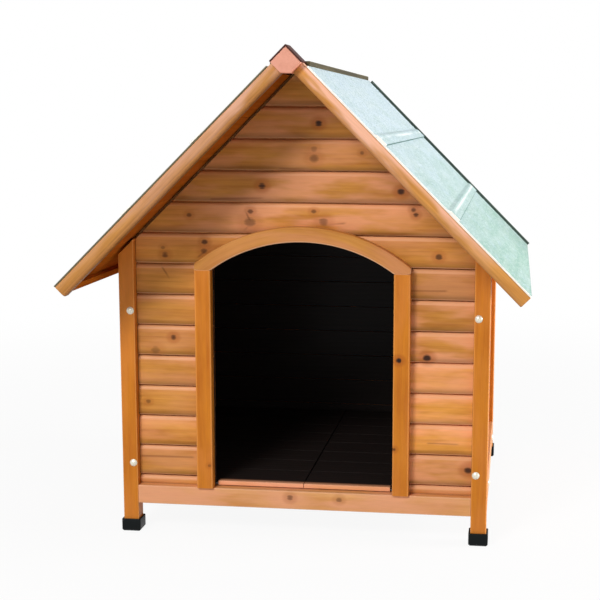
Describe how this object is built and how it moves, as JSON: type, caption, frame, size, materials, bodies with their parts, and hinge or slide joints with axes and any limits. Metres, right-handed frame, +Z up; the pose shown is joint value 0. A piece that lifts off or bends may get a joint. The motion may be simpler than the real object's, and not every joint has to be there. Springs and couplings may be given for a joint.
{
  "type": "dog house",
  "caption": "Raised wooden dog house: arched doorway, board-clad walls, gable roof with roofing felt, square foot caps and lift-out floor panels.",
  "frame": {"origin": "on the ground, midway across the house and midway along the roof's length", "axes": "+Z up, -Y out of the doorway, +X to the right for someone who faces the doorway"},
  "size_m": [0.7188, 0.76, 0.7741],
  "materials": {
    "frame_wood": "satin stained pine",
    "cladding": "satin stained pine",
    "floor": "planed pine",
    "roof_wood": "planed pine",
    "verge_wood": "satin stained pine",
    "felt_green_paint": "grey-green board",
    "felt": "mineral-faced roofing felt",
    "feet": "black plastic",
    "fasteners": "zinc plated"
  },
  "bodies": {
    "house": {"dome_bolts": "fasteners", "door_arch_header": "frame_wood", "door_left_stile": "frame_wood", "door_right_stile": "frame_wood", "front_bottom_rail": "frame_wood", "front_gable_boards": "cladding", "front_gable_cleats": "roof_wood", "front_left_boards": "cladding", "front_left_foot": "feet", "front_left_post": "frame_wood", "front_right_boards": "cladding", "front_right_foot": "feet", "front_right_post": "frame_wood", "left_eave_batten": "roof_wood", "left_floor_bearer": "floor", "left_front_verge": "verge_wood", "left_lower_felt": "felt", "left_middle_felt": "felt", "left_purlin": "roof_wood", "left_rear_verge": "verge_wood", "left_roof_deck": "roof_wood", "left_side_boards": "cladding", "left_side_bottom_rail": "frame_wood", "left_side_stiles": "frame_wood", "left_side_top_rail": "frame_wood", "left_upper_felt": "felt", "middle_floor_bearer": "floor", "rear_boards": "cladding", "rear_bottom_rail": "frame_wood", "rear_drip_strips": "felt", "rear_gable_cleats": "roof_wood", "rear_left_foot": "feet", "rear_left_post": "frame_wood", "rear_right_foot": "feet", "rear_right_post": "frame_wood", "ridge_beam": "roof_wood", "ridge_block": "verge_wood", "ridge_block_cover": "felt", "ridge_board": "felt_green_paint", "ridge_board_screws": "fasteners", "right_eave_batten": "roof_wood", "right_floor_bearer": "floor", "right_front_verge": "verge_wood", "right_lower_felt": "felt", "right_middle_felt": "felt", "right_purlin": "roof_wood", "right_rear_verge": "verge_wood", "right_roof_deck": "roof_wood", "right_side_boards": "cladding", "right_side_bottom_rail": "frame_wood", "right_side_stiles": "frame_wood", "right_side_top_rail": "frame_wood", "right_upper_felt": "felt", "threaded_inserts": "fasteners"},
    "left_floor_panel": {"left_floor_boards": "floor", "left_floor_battens": "floor"},
    "right_floor_panel": {"right_floor_boards": "floor", "right_floor_battens": "floor"}
  },
  "joints": [
    {"name": "left_floor_lift", "type": "slide", "parent": "house", "child": "left_floor_panel", "axis": [0, 0, 1], "range_m": [0, 0.3]},
    {"name": "right_floor_lift", "type": "slide", "parent": "house", "child": "right_floor_panel", "axis": [0, 0, 1], "range_m": [0, 0.3]}
  ]
}
